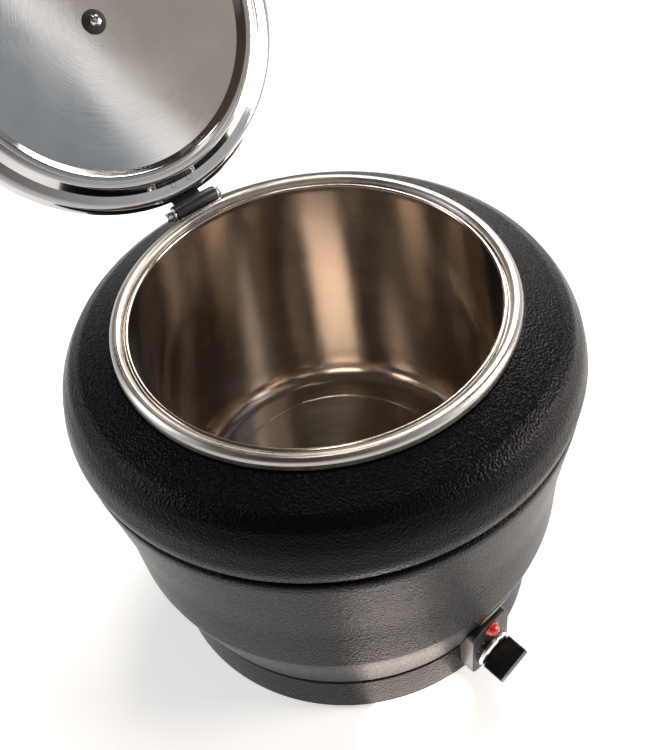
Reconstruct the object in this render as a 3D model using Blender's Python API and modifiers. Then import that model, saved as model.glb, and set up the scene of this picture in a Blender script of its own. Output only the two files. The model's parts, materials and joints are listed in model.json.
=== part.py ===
"""Electric soup kettle: a black spun steel body with a heated well, a lift-out pot and a hinged lid.

Metres, +Z up. The origin is on the table under the middle of the kettle, the lid hinge is at +Y and the
control faces -Y, turned a little towards +X. The lid is modelled closed, in the frame of its hinge, and
stands open at rest.
"""

import math

import bmesh
import bpy
from mathutils import Matrix, Vector

# Driving dimensions.
GAP = 0.0003  # between neighbouring pieces
STEEL = 0.0015  # wall of the painted shells
SHEET = 0.001  # wall of the stainless pieces
FOOT_HEIGHT = 0.004  # the base ring stands this far above the table
BASE_RADIUS = 0.1424
BELLY_RADIUS = 0.1610
BAND_RADIUS = 0.1725  # the widest part of the kettle
DECK_HEIGHT = 0.2730  # top face of the deck under the lid ring
RIM_RADIUS = 0.1304  # outside of the lid ring
RIM_HEIGHT = 0.2820  # top of the lid ring
POT_RADIUS = 0.1185  # outside of the pot's wall
POT_BOTTOM = 0.0860
WELL_RADIUS = 0.1237
WELL_BOTTOM = 0.0700
HINGE_RADIUS = 0.1377  # hinge pin, from the kettle's axis
HINGE_HEIGHT = 0.2807
LID_RADIUS = 0.1296
LID_OPEN = math.radians(124.2)
LID_DOME = 0.0110  # top of the lid above the hinge line when closed
PANEL_FACE = 0.1530  # front face of the control bezel, from the kettle's axis
CONTROL_TURN = math.radians(3.5)  # the control's direction round the kettle, from the front towards +X
KNOB_HEIGHT = 0.0304
KNOB_TURN = math.radians(20.0)  # slope of the knob's bar at rest
LAMP_HEIGHT = 0.0577
GLAND_HEIGHT = 0.0220

TURN_STEPS = 32
SMALL_STEPS = 12

FRONT = Matrix.Rotation(math.radians(90.0), 4, "X")  # turns a piece's +Z to the front, -Y
LYING = Matrix.Rotation(math.radians(90.0), 4, "Y")  # turns a piece's +Z to +X


def start_scene():
    """Removes the scene's objects and makes the collections for the kettle and for its cutters."""
    for old in list(bpy.data.objects):
        bpy.data.objects.remove(old, do_unlink=True)
    kettle = bpy.data.collections.new("soup_kettle")
    cutters = bpy.data.collections.new("cutters")
    for collection in (kettle, cutters):
        bpy.context.scene.collection.children.link(collection)
    return kettle, cutters


KETTLE, CUTTERS = start_scene()


def material(name, colour, roughness, metallic=0.0):
    made = bpy.data.materials.new(name)
    made.use_nodes = True
    shader = made.node_tree.nodes["Principled BSDF"]
    shader.inputs["Base Color"].default_value = (*colour, 1.0)
    shader.inputs["Roughness"].default_value = roughness
    shader.inputs["Metallic"].default_value = metallic
    made.diffuse_color = (*colour, 1.0)
    return made


BLACK_PAINT = material("black_paint", (0.020, 0.018, 0.020), 0.35)
STAINLESS = material("stainless", (0.62, 0.59, 0.55), 0.25, 1.0)
PLATED = material("plated_steel", (0.72, 0.72, 0.70), 0.30, 1.0)
CHROME = material("chrome", (0.80, 0.80, 0.80), 0.08, 1.0)
ALUMINIUM = material("aluminium", (0.70, 0.70, 0.70), 0.40, 1.0)
BLACK_PLASTIC = material("black_plastic", (0.015, 0.015, 0.016), 0.30)
WHITE_PLASTIC = material("white_plastic", (0.75, 0.73, 0.68), 0.45)
RED_LENS = material("red_lens", (0.65, 0.03, 0.04), 0.15)
RUBBER = material("rubber", (0.03, 0.03, 0.03), 0.80)
SILICONE = material("silicone", (0.45, 0.12, 0.08), 0.60)
COPPER = material("copper", (0.72, 0.38, 0.24), 0.35, 1.0)
BRASS = material("brass", (0.70, 0.55, 0.28), 0.30, 1.0)
LABEL = material("label", (0.40, 0.36, 0.20), 0.40, 0.6)
WIRE_COLOURS = {
    "brown": material("brown_wire", (0.20, 0.08, 0.03), 0.50),
    "blue": material("blue_wire", (0.03, 0.10, 0.40), 0.50),
    "green": material("green_wire", (0.05, 0.35, 0.08), 0.50),
    "red": material("red_wire", (0.45, 0.03, 0.03), 0.50),
}


def place(name, mesh, finish=None, parent=None, at=(0.0, 0.0, 0.0), turn=None, cutter=False):
    """An object with this mesh, at a place and turn in its parent's frame."""
    piece = bpy.data.objects.new(name, mesh)
    (CUTTERS if cutter else KETTLE).objects.link(piece)
    piece.parent = parent
    piece.matrix_basis = Matrix.Translation(Vector(at)) @ (turn or Matrix.Identity(4))
    if finish:
        mesh.materials.append(finish)
    if cutter:
        piece.hide_render = True
        piece.display_type = "WIRE"
    return piece


def turned(name, outline, finish=None, wall=None, steps=TURN_STEPS, closed=False, **where):
    """A piece turned about its Z axis from an outline of (radius, height) down its outer side.

    With a wall the outline is the outer face of a shell; closed joins its ends into a solid ring.
    """
    mesh = bpy.data.meshes.new(name)
    points = [(radius, 0.0, height) for radius, height in outline]
    edges = [(i, i + 1) for i in range(len(points) - 1)]
    if closed:
        edges.append((len(points) - 1, 0))
    mesh.from_pydata(points, edges, [])
    piece = place(name, mesh, finish, **where)
    screw = piece.modifiers.new("turn", "SCREW")
    screw.steps = steps
    screw.render_steps = steps
    screw.use_merge_vertices = True
    screw.merge_threshold = 0.00005
    screw.use_smooth_shade = True
    if wall:
        shell = piece.modifiers.new("wall", "SOLIDIFY")
        shell.thickness = wall
        shell.offset = -1.0
        shell.use_even_offset = True
    return piece


def ring(name, inner, outer, bottom, top, finish=None, steps=SMALL_STEPS, **where):
    """A washer-like ring, or a disc when inner is 0."""
    if inner:
        outline = [(inner, top), (outer, top), (outer, bottom), (inner, bottom)]
        return turned(name, outline, finish, steps=steps, closed=True, **where)
    outline = [(0.0, top), (outer, top), (outer, bottom), (0.0, bottom)]
    return turned(name, outline, finish, steps=steps, **where)


def box(name, low, high, finish=None, bevel=0.0, **where):
    """A box between two corners, with rounded edges where bevel is given."""
    mesh = bpy.data.meshes.new(name)
    form = bmesh.new()
    bmesh.ops.create_cube(form, size=1.0)
    size = [b - a for a, b in zip(low, high)]
    middle = [(a + b) / 2.0 for a, b in zip(low, high)]
    bmesh.ops.scale(form, vec=size, verts=form.verts)
    bmesh.ops.translate(form, vec=middle, verts=form.verts)
    form.to_mesh(mesh)
    form.free()
    piece = place(name, mesh, finish, **where)
    if bevel:
        rounding = piece.modifiers.new("edges", "BEVEL")
        rounding.width = bevel
        rounding.segments = 2
        rounding.limit_method = "ANGLE"
    return piece


def hexagon(name, across, inner, bottom, top, finish, **where):
    """A hexagon nut, its outside and its hole both given across their flats, inner being half the hole."""
    mesh = bpy.data.meshes.new(name)
    form = bmesh.new()
    sides = 6
    corner = across / math.sqrt(3.0)
    bore = inner * 2.0 / math.sqrt(3.0)
    rings = []
    for radius, height in ((bore, top), (corner, top), (corner, bottom), (bore, bottom)):
        made = bmesh.ops.create_circle(form, segments=sides, radius=radius)["verts"]
        bmesh.ops.translate(form, vec=(0.0, 0.0, height), verts=made)
        rings.append(made)
    for upper, lower in zip(rings, rings[1:] + rings[:1]):
        for i in range(sides):
            j = (i + 1) % sides
            form.faces.new((upper[i], lower[i], lower[j], upper[j]))
    bmesh.ops.recalc_face_normals(form, faces=form.faces)
    form.to_mesh(mesh)
    form.free()
    return place(name, mesh, finish, **where)


def tube(name, route, radius, finish, sides_level=2, smooth_points=0, **where):
    """A round bar or wire along a route; smooth_points reads that many points from a curve through it."""
    if smooth_points:
        route = curve_through(route, smooth_points)
    curve = bpy.data.curves.new(name, "CURVE")
    curve.dimensions = "3D"
    spline = curve.splines.new("POLY")
    spline.points.add(len(route) - 1)
    for point, corner in zip(spline.points, route):
        point.co = (*corner, 1.0)
    curve.bevel_depth = radius
    curve.bevel_resolution = sides_level
    curve.use_fill_caps = True
    return place(name, curve, finish, **where)


def curve_through(route, count):
    """Evenly numbered points of a Catmull-Rom curve through the route's points."""
    points = [Vector(p) for p in route]
    points = [2 * points[0] - points[1], *points, 2 * points[-1] - points[-2]]
    spans = len(points) - 3
    result = []
    for step in range(count):
        place_on = step / (count - 1) * spans
        i = min(int(place_on), spans - 1)
        t = place_on - i
        a, b, c, d = points[i : i + 4]
        result.append(
            0.5 * (2 * b + (c - a) * t + (2 * a - 5 * b + 4 * c - d) * t**2 + (3 * b - a - 3 * c + d) * t**3)
        )
    return result


def arc(radius, height, size, start, end, count):
    """Points on an arc about (radius, height), from one angle to another in degrees."""
    angles = [math.radians(start + (end - start) * i / (count - 1)) for i in range(count)]
    return [(radius + size * math.cos(a), height + size * math.sin(a)) for a in angles]


def boolean(piece, other, operation="DIFFERENCE"):
    step = piece.modifiers.new(operation.lower(), "BOOLEAN")
    step.object = other
    step.operation = operation
    step.solver = "EXACT"


# Outlines that more than one piece uses.
BASE_OUTLINE = [
    (0.1320, 0.0394),
    *arc(0.1376, 0.0358, 0.0036, 90.0, 0.0, 3),
    (BASE_RADIUS, FOOT_HEIGHT + 0.0012),
    (BASE_RADIUS - 0.0014, FOOT_HEIGHT),
    (0.1300, FOOT_HEIGHT),
]
BELLY_OUTLINE = [
    (0.1600, 0.2186),
    *arc(0.1662, 0.2147, 0.0039, 90.0, 0.0, 3),
    (0.1668, 0.1900),
    (BELLY_RADIUS, 0.1480),
    (0.1592, 0.1010),
    (0.1575, 0.0930),
    (0.1430, 0.0450),
    (0.1410, 0.0416),
    (0.1340, 0.0412),
]


def make_shells(window, lamp_opening):
    """The painted body: deck and band, belly and base ring, opened behind the control and the gland."""
    deck = [
        (0.1245, DECK_HEIGHT),
        (0.1315, DECK_HEIGHT),
        (0.1540, 0.2652),
        (0.1620, 0.2598),
        (0.1690, 0.2490),
        (BAND_RADIUS, 0.2330),
        (0.1712, 0.2250),
        (0.1675, 0.2200),
        (0.1610, 0.2196),
    ]
    turned("top_cover", deck, BLACK_PAINT, wall=STEEL)
    belly = turned("belly_shell", BELLY_OUTLINE, BLACK_PAINT, wall=STEEL)
    base = turned("base_ring", BASE_OUTLINE, BLACK_PAINT, wall=STEEL)
    for shell in (belly, base):
        boolean(shell, window)
    boolean(belly, lamp_opening)
    rear = {"at": (0, BASE_RADIUS, GLAND_HEIGHT), "turn": FRONT}
    boolean(base, ring("gland_hole", 0, 0.0083, -0.02, 0.02, cutter=True, **rear))


def make_label():
    """A thin blank plate that follows the belly's cone above the control."""
    columns, low, high, start, end = 5, 0.0680, 0.0900, 0.0005, 0.0245
    mesh = bpy.data.meshes.new("label_plate")
    corners = []
    for i in range(columns):
        across = start + (end - start) * i / (columns - 1)
        for height in (low, high):
            radius = 0.1430 + (height - 0.0450) * 0.0145 / 0.0480 + GAP
            angle = across / radius
            corners.append((radius * math.sin(angle), -radius * math.cos(angle), height))
    faces = [(2 * i, 2 * i + 2, 2 * i + 3, 2 * i + 1) for i in range(columns - 1)]
    mesh.from_pydata(corners, [], faces)
    plate = place("label_plate", mesh, LABEL)
    thickness = plate.modifiers.new("thickness", "SOLIDIFY")
    thickness.thickness = 0.0005
    thickness.offset = 1.0


def body_envelope():
    """The space of the belly and base ring, one gap larger, that the bezel's back edge follows."""
    lower = [(r + GAP, z) for r, z in BASE_OUTLINE if r > 0.137]
    upper = [(r + GAP, z) for r, z in BELLY_OUTLINE if r > 0.137]
    outline = [(0.0, 0.2600), (upper[0][0], 0.2600), *upper, *lower, (lower[-1][0], -0.01), (0.0, -0.01)]
    return turned("body_envelope", outline, cutter=True)


def make_control(envelope, front, lamp_spot):
    """The bezel on the front with its lamp, and the knob that turns on the thermostat's shaft."""
    width, low, top, wall = 0.0370, 0.0120, 0.0650, 0.0024
    back = -PANEL_FACE + 0.034
    mesh = bpy.data.meshes.new("control_bezel")
    form = bmesh.new()
    bmesh.ops.create_cube(form, size=1.0)
    bmesh.ops.scale(form, vec=(width, back + PANEL_FACE, top - low), verts=form.verts)
    bmesh.ops.translate(form, vec=(0, (back - PANEL_FACE) / 2, (top + low) / 2), verts=form.verts)
    upright = [e for e in form.edges if abs(e.verts[0].co.y - e.verts[1].co.y) > 0.001]
    shoulders = [e for e in upright if e.verts[0].co.z > low + 0.01]
    toes = [e for e in upright if e not in shoulders]
    bmesh.ops.bevel(form, geom=shoulders, offset=0.0100, segments=5, affect="EDGES", profile=0.5)
    bmesh.ops.bevel(form, geom=toes, offset=0.0050, segments=3, affect="EDGES", profile=0.5)
    form.to_mesh(mesh)
    form.free()
    bezel = place("control_bezel", mesh, BLACK_PLASTIC, parent=front)
    edge = bezel.modifiers.new("front_edge", "BEVEL")
    edge.width = 0.0010
    edge.segments = 2
    edge.limit_method = "ANGLE"
    edge.angle_limit = math.radians(60.0)
    hollow = box(
        "bezel_hollow",
        (-0.0155, -PANEL_FACE + wall, low + wall),
        (0.0155, -0.10, top - 0.0045),
        bevel=0.0010,
        cutter=True,
        parent=front,
    )
    knob_spot = {"parent": front, "at": (0, -PANEL_FACE, KNOB_HEIGHT), "turn": FRONT}
    bush_hole = ring("bush_hole", 0, 0.0053, -0.01, 0.01, cutter=True, **knob_spot)
    lamp_hole = ring("lamp_hole", 0, 0.0048, -0.01, 0.01, cutter=True, **lamp_spot)
    for cutter in (hollow, envelope, bush_hole, lamp_hole):
        boolean(bezel, cutter)

    lens = [
        (0.0, 0.0062),
        *arc(0.0, 0.0014, 0.0048, 62.0, 8.0, 3),
        (0.0058, 0.0012),
        (0.0058, GAP),
        (0.0044, GAP),
        (0.0044, -0.0030),
        (0.0, -0.0030),
    ]
    turned("indicator_lens", lens, RED_LENS, steps=SMALL_STEPS, **lamp_spot)
    ring("lamp_body", 0, 0.0046, -0.0170, -0.0034, WHITE_PLASTIC, **lamp_spot)

    axis = bpy.data.objects.new("knob_axis", None)
    KETTLE.objects.link(axis)
    axis.parent = front
    axis.matrix_basis = Matrix.Translation((0, -PANEL_FACE, KNOB_HEIGHT)) @ FRONT
    body = box("thermostat_body", (-0.0150, -0.0130, -0.0290), (0.0150, 0.0130, -0.0030), PLATED, parent=axis)
    bush = ring("thermostat_bush", 0, 0.0050, -0.0060, 0.0020, parent=axis, cutter=True)
    bore = ring("thermostat_bore", 0, 0.0033, -0.0150, 0.0100, parent=axis, cutter=True)
    boolean(body, bush, "UNION")
    boolean(body, bore)
    hexagon("thermostat_nut", 0.0140, 0.0053, GAP, 0.0018, PLATED, parent=axis)
    ring("thermostat_shaft", 0, 0.0030, -0.0140, 0.0160, PLATED, parent=axis)

    skirt = [(0.0036, 0.0060), (0.0122, 0.0060), (0.0145, 0.0046), (0.0150, 0.0026), (0.0036, 0.0026)]
    turned("knob_skirt", skirt, CHROME, steps=32, closed=True, parent=axis)
    bar = box("control_knob", (-0.0143, -0.0042, 0.0063), (0.0143, 0.0042, 0.0225), BLACK_PLASTIC,
              bevel=0.0008, parent=axis, turn=Matrix.Rotation(KNOB_TURN, 4, "Z"))
    knob_bore = ring("knob_bore", 0, 0.0033, -0.01, 0.0170, parent=axis, cutter=True)
    boolean(bar, knob_bore)


def make_base():
    """The base plate with its feet, heat shield, terminal block, earth stud and cable gland."""
    plate_low, plate_high = 0.0058, 0.0070
    plate = ring("base_plate", 0, 0.1388, plate_low, plate_high, PLATED, steps=TURN_STEPS)
    hole_spots = []
    for number in range(4):
        angle = math.radians(45.0 + 90.0 * number)
        x, y = 0.1120 * math.cos(angle), 0.1120 * math.sin(angle)
        foot = [
            (0.0024, plate_low - GAP),
            (0.0095, plate_low - GAP),
            (0.0110, 0.0008),
            (0.0102, 0.0),
            (0.0050, 0.0),
            (0.0050, 0.0025),
            (0.0024, 0.0025),
        ]
        turned(f"foot_{number + 1}", foot, RUBBER, steps=SMALL_STEPS, closed=True, at=(x, y, 0))
        screw = [
            (0.0, 0.0110),
            (0.0019, 0.0110),
            (0.0019, 0.0022),
            (0.0042, 0.0022),
            (0.0036, 0.0008),
            (0.0, 0.0006),
        ]
        turned(f"foot_screw_{number + 1}", screw, PLATED, steps=8, at=(x, y, 0))
        hole_spots.append((x, y, 0.0024))
    for number in range(6):
        angle = math.radians(60.0 * number)
        hole_spots.append((0.0500 * math.cos(angle), 0.0500 * math.sin(angle), 0.0050))
    holes = bmesh.new()
    for x, y, radius in hole_spots:
        size = {"segments": SMALL_STEPS, "radius1": radius, "radius2": radius, "depth": 0.02}
        spot = Matrix.Translation((x, y, plate_low))
        bmesh.ops.create_cone(holes, cap_ends=True, matrix=spot, **size)
    mesh = bpy.data.meshes.new("plate_holes")
    holes.to_mesh(mesh)
    holes.free()
    boolean(plate, place("plate_holes", mesh, cutter=True))

    shield_low = 0.0360
    for number in range(3):
        angle = math.radians(30.0 + 120.0 * number)
        ring(f"shield_post_{number + 1}", 0, 0.0035, plate_high + GAP, shield_low - GAP, PLATED, steps=8,
             at=(0.0900 * math.cos(angle), 0.0900 * math.sin(angle), 0))
    shield = [(0.1030, 0.0500), (0.1010, 0.0400), (0.0970, shield_low), (0.0, shield_low)]
    dish = turned("heat_shield", shield, ALUMINIUM, wall=SHEET, steps=32)
    boolean(dish, box("lead_slot", (-0.0200, 0.0720, 0.0300), (0.0200, 0.0880, 0.0390), cutter=True))

    block_low, block_high = (-0.0200, 0.0560, plate_high + GAP), (0.0200, 0.0680, 0.0230)
    box("terminal_block", block_low, block_high, WHITE_PLASTIC, bevel=0.0010)
    ring("earth_stud", 0, 0.0030, plate_high + GAP, 0.0180, BRASS, steps=8, at=(0.0380, 0.0750, 0))

    gland = [
        (0.0045, 0.0095),
        (0.0085, 0.0095),
        (0.0098, 0.0080),
        (0.0120, 0.0070),
        (0.0120, GAP),
        (0.0080, GAP),
        (0.0080, -0.0150),
        (0.0045, -0.0150),
    ]
    rear = Matrix.Rotation(math.radians(-90.0), 4, "X")
    spot = (0, BASE_RADIUS, GLAND_HEIGHT)
    turned("cable_gland", gland, BLACK_PLASTIC, closed=True, steps=SMALL_STEPS, at=spot, turn=rear)
    hexagon("gland_nut", 0.0220, 0.0083, -0.0085, -0.0045, BLACK_PLASTIC, at=spot, turn=rear)


def make_heater():
    """The well that the pot stands in, its gasket, and the element clamped under its floor."""
    ring("rim_gasket", 0.1256, 0.1284, DECK_HEIGHT + GAP, 0.2748, SILICONE, steps=TURN_STEPS)
    corner = 0.0140
    well = [
        (0.1284, 0.2751),
        (0.1252, 0.2751),
        (WELL_RADIUS, 0.2736),
        *arc(WELL_RADIUS - corner, WELL_BOTTOM + corner, corner, 0.0, -90.0, 4),
        (0.0, WELL_BOTTOM),
    ]
    turned("heat_well", well, STAINLESS, wall=SHEET)
    plate_low, plate_high = 0.0655, WELL_BOTTOM - GAP
    plate = ring("heat_spreader", 0.0034, 0.1000, plate_low, plate_high, ALUMINIUM, steps=32)
    plate.modifiers["turn"].use_smooth_shade = False

    loop, bar = 0.0800, 0.0040
    height = plate_low - GAP - bar
    turns = [math.radians(98.0 + 344.0 * i / 27) for i in range(28)]
    route = [(loop * math.cos(a), loop * math.sin(a), height) for a in turns]
    first, last = route[0], route[-1]
    tail_in = [(first[0], first[1], 0.0430), (first[0], first[1], height - 0.005)]
    tail_out = [(last[0], last[1], height - 0.005), (last[0], last[1], 0.0430)]
    tube("heating_element", [*tail_in, *route[1:-1], *tail_out], bar, PLATED)

    ring("clamp_stud", 0, 0.0030, 0.0450, plate_high, PLATED, steps=12)
    clamp = box("element_clamp", (-0.0900, -0.0080, 0.0540), (0.0900, 0.0080, 0.0560), PLATED)
    boolean(clamp, ring("clamp_hole", 0, 0.0034, 0.0500, 0.0600, steps=12, cutter=True))
    hexagon("clamp_nut", 0.0100, 0.0034, 0.0485, 0.0537, PLATED)

    bulb_height = plate_low - GAP - 0.0030
    bulb_spot = {"at": (0, -0.0350, bulb_height), "turn": LYING}
    ring("thermostat_bulb", 0, 0.0030, -0.0300, 0.0300, COPPER, **bulb_spot)
    capillary = [
        (-0.0306, -0.0350, bulb_height),
        (-0.0380, -0.0420, 0.0560),
        (-0.0300, -0.0750, 0.0525),
        (-0.0150, -0.1060, 0.0510),
        (-0.0040, -0.1140, 0.0410),
        (0.0016, -0.1236, 0.0340),
    ]
    tube("capillary_tube", capillary, 0.0010, COPPER, sides_level=1, smooth_points=20)
    ring("thermal_cutout", 0, 0.0080, 0.0585, plate_low - GAP, WHITE_PLASTIC, at=(0, 0.0450, 0))


def make_wires():
    """The leads inside the base, from the gland to the terminal block and on to the control and element."""
    element_x = 0.0110
    leads = {
        "mains_live": ("brown", [
            (-0.0025, 0.1265, 0.0220), (-0.0060, 0.1050, 0.0180), (-0.0120, 0.0700, 0.0150),
        ]),
        "mains_neutral": ("blue", [
            (0.0005, 0.1265, 0.0200), (0.0000, 0.1000, 0.0165), (0.0000, 0.0700, 0.0150),
        ]),
        "earth_lead": ("green", [
            (0.0025, 0.1265, 0.0230), (0.0160, 0.1050, 0.0200), (0.0345, 0.0780, 0.0150),
        ]),
        "element_feed": ("red", [
            (-0.0130, 0.0700, 0.0200), (-0.0140, 0.0780, 0.0260), (-element_x, 0.0795, 0.0425),
        ]),
        "element_return": ("blue", [
            (0.0130, 0.0700, 0.0200), (0.0140, 0.0780, 0.0260), (element_x, 0.0795, 0.0425),
        ]),
        "thermostat_feed": ("brown", [
            (-0.0120, 0.0535, 0.0190), (-0.0500, 0.0100, 0.0200), (-0.0450, -0.0600, 0.0250),
            (-0.0150, -0.1080, 0.0260), (-0.0030, -0.1232, 0.0260),
        ]),
    }
    for name, (colour, route) in leads.items():
        points = 10 if len(route) == 3 else 20
        tube(name, route, 0.0012, WIRE_COLOURS[colour], sides_level=1, smooth_points=points)


def make_pot():
    """The lift-out pot: a rolled bead round the mouth, a flange on the well and a rounded floor."""
    corner = 0.0260
    pot = [
        (0.1282, 0.2764),
        (0.1208, 0.2764),
        (0.1203, 0.2782),
        (0.1190, 0.2786),
        (POT_RADIUS, 0.2750),
        *arc(POT_RADIUS - 0.0012 - corner, POT_BOTTOM + corner, corner, 0.0, -90.0, 5),
        (0.0, POT_BOTTOM),
    ]
    turned("inner_pot", pot, STAINLESS, wall=SHEET)


def make_lid_ring():
    """The stainless ring over the pot's rim that carries the hinge bracket and its pin."""
    outline = [
        (0.1220, 0.2781),
        (0.1226, 0.2806),
        (0.1246, RIM_HEIGHT),
        (0.1274, RIM_HEIGHT),
        (0.1298, 0.2802),
        (RIM_RADIUS, 0.2780),
        (RIM_RADIUS, 0.2744),
    ]
    turned("lid_ring", outline, STAINLESS, wall=SHEET)


def hinge_frame(name, angle):
    """An empty on the hinge pin: Y runs out from the kettle, and the lid lies along -Y when closed."""
    frame = bpy.data.objects.new(name, None)
    KETTLE.objects.link(frame)
    frame.matrix_basis = Matrix.Translation((0, HINGE_RADIUS, HINGE_HEIGHT)) @ Matrix.Rotation(-angle, 4, "X")
    return frame


def make_hinge_bracket(frame):
    """The bracket stands on the ring's outside: a strap with two ears that hold the pin."""
    half, ear, eye = 0.0185, 0.0015, 0.0052
    back, face = -0.0070, -0.0061
    strap = box("hinge_bracket", (-half, back, -0.0062), (half, face, -0.0012), CHROME, parent=frame)
    for side in (-1, 1):
        low, high = sorted((side * half, side * (half - ear)))
        arm_low, arm_high = (low, back, -0.0062), (high, 0.0020, -0.0030)
        arm = box(f"bracket_arm_{side}", arm_low, arm_high, parent=frame, cutter=True)
        disc = ring(f"bracket_ear_{side}", 0, eye, low, high, parent=frame, turn=LYING, cutter=True)
        boolean(strap, arm, "UNION")
        boolean(strap, disc, "UNION")
    boolean(strap, ring("pin_hole", 0, 0.0023, -0.03, 0.03, parent=frame, turn=LYING, cutter=True))
    pin = [
        (0.0, 0.0228),
        (0.0020, 0.0228),
        (0.0020, -0.0189),
        (0.0032, -0.0189),
        (0.0032, -0.0225),
        (0.0024, -0.0235),
        (0.0, -0.0235),
    ]
    turned("hinge_pin", pin, PLATED, steps=12, parent=frame, turn=LYING)
    hexagon("pin_nut", 0.0062, 0.0021, half + GAP, half + 0.0030, PLATED, parent=frame, turn=LYING)


def dome_height(radius):
    """Height of the lid's shallow dome above the hinge line."""
    edge, height = 0.1015, 0.0034
    return height + (LID_DOME - height) * (1.0 - (radius / edge) ** 2)


def make_lid(frame):
    """The lid with its panel, bead and raised edge, and the knuckle and handle fixed to it."""
    middle = -HINGE_RADIUS
    top = [
        (0.0, LID_DOME),
        *[(r, dome_height(r)) for r in (0.0250, 0.0550, 0.0850)],
        (0.1015, 0.0034),
        (0.1060, -0.0018),
        (0.1095, -0.0026),
        (0.1130, -0.0018),
        (0.1180, 0.0030),
        (0.1245, 0.0038),
        (0.1278, 0.0050),
        (LID_RADIUS, 0.0082),
    ]
    pan = turned("lid_pan", top, STAINLESS, wall=SHEET, parent=frame, at=(0, middle, 0))
    centre = {"parent": frame, "at": (0, middle, LID_DOME)}
    boolean(pan, ring("stem_hole", 0, 0.0026, -0.01, 0.01, steps=12, cutter=True, **centre))
    handle = [
        (0.0026, 0.0240),
        (0.0026, GAP),
        (0.0120, GAP),
        (0.0110, 0.0030),
        (0.0085, 0.0080),
        (0.0085, 0.0130),
        (0.0150, 0.0180),
        (0.0190, 0.0230),
        (0.0185, 0.0270),
        (0.0150, 0.0300),
        (0.0, 0.0310),
        (0.0, 0.0240),
    ]
    turned("lid_knob", handle[::-1], BLACK_PLASTIC, steps=24, closed=True, **centre)
    washer = [(0.0026, -SHEET - GAP), (0.0085, -SHEET - GAP), (0.0055, -0.0042), (0.0026, -0.0042)]
    turned("lid_knob_washer", washer, RUBBER, steps=SMALL_STEPS, closed=True, **centre)
    screw = [
        (0.0, 0.0200),
        (0.0022, 0.0200),
        (0.0022, -0.0045),
        (0.0042, -0.0045),
        (0.0036, -0.0068),
        (0.0, -0.0076),
    ]
    turned("lid_knob_screw", screw, PLATED, steps=12, **centre)

    barrel_half = 0.0166
    pin_line = {"parent": frame, "turn": LYING}
    knuckle = ring("hinge_knuckle", 0, 0.0056, -barrel_half, barrel_half, BLACK_PLASTIC, **pin_line)
    tongue = [
        (0.0000, 0.0030),
        (-0.0045, 0.0085),
        (-0.0088, 0.0104),
        (-0.0114, 0.0082),
        (-0.0138, 0.0052),
        (-0.0215, 0.0052),
    ]
    half = 0.0110
    strip = bpy.data.meshes.new("knuckle_tongue")
    corners = [(x, y, z) for y, z in tongue for x in (-half, half)]
    faces = [(2 * i, 2 * i + 1, 2 * i + 3, 2 * i + 2) for i in range(len(tongue) - 1)]
    strip.from_pydata(corners, [], faces)
    tongue_piece = place("knuckle_tongue", strip, parent=frame, cutter=True)
    thickness = tongue_piece.modifiers.new("thickness", "SOLIDIFY")
    thickness.thickness = 0.0016
    thickness.offset = 0.0
    thickness.use_even_offset = True
    boolean(knuckle, tongue_piece, "UNION")
    boolean(knuckle, ring("knuckle_bore", 0, 0.00215, -0.03, 0.03, cutter=True, **pin_line))
    for side, x in (("left", -0.0065), ("right", 0.0065)):
        spot = {"parent": frame, "at": (x, -0.0180, 0.0)}
        hole = ring(f"rivet_hole_{side}", 0, 0.0018, -0.0010, 0.0100, steps=12, cutter=True, **spot)
        boolean(knuckle, hole)
        boolean(pan, hole)
        rivet = [
            (0.0, 0.0076),
            (0.0020, 0.0073),
            (0.0030, 0.0064),
            (0.0015, 0.0064),
            (0.0015, 0.0019),
            (0.0, 0.0019),
        ]
        turned(f"knuckle_rivet_{side}", rivet, PLATED, steps=12, **spot)


def main():
    front = bpy.data.objects.new("control_front", None)
    KETTLE.objects.link(front)
    front.matrix_basis = Matrix.Rotation(CONTROL_TURN, 4, "Z")
    lamp_spot = {"parent": front, "at": (0, -PANEL_FACE, LAMP_HEIGHT), "turn": FRONT}
    window_low, window_high = (-0.0157, -0.1700, 0.0160), (0.0157, -0.1180, 0.0520)
    window = box("control_window", window_low, window_high, parent=front, cutter=True)
    lamp_opening = ring("lamp_opening", 0, 0.0052, -0.03, 0.0, cutter=True, **lamp_spot)
    make_shells(window, lamp_opening)
    make_label()
    make_control(body_envelope(), front, lamp_spot)
    make_base()
    make_heater()
    make_wires()
    make_pot()
    make_lid_ring()
    make_hinge_bracket(hinge_frame("hinge_rest", 0.0))
    make_lid(hinge_frame("lid_axis", LID_OPEN))


main()
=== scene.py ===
import json
import math

import bmesh
import bpy
from mathutils import Matrix, Vector


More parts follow.
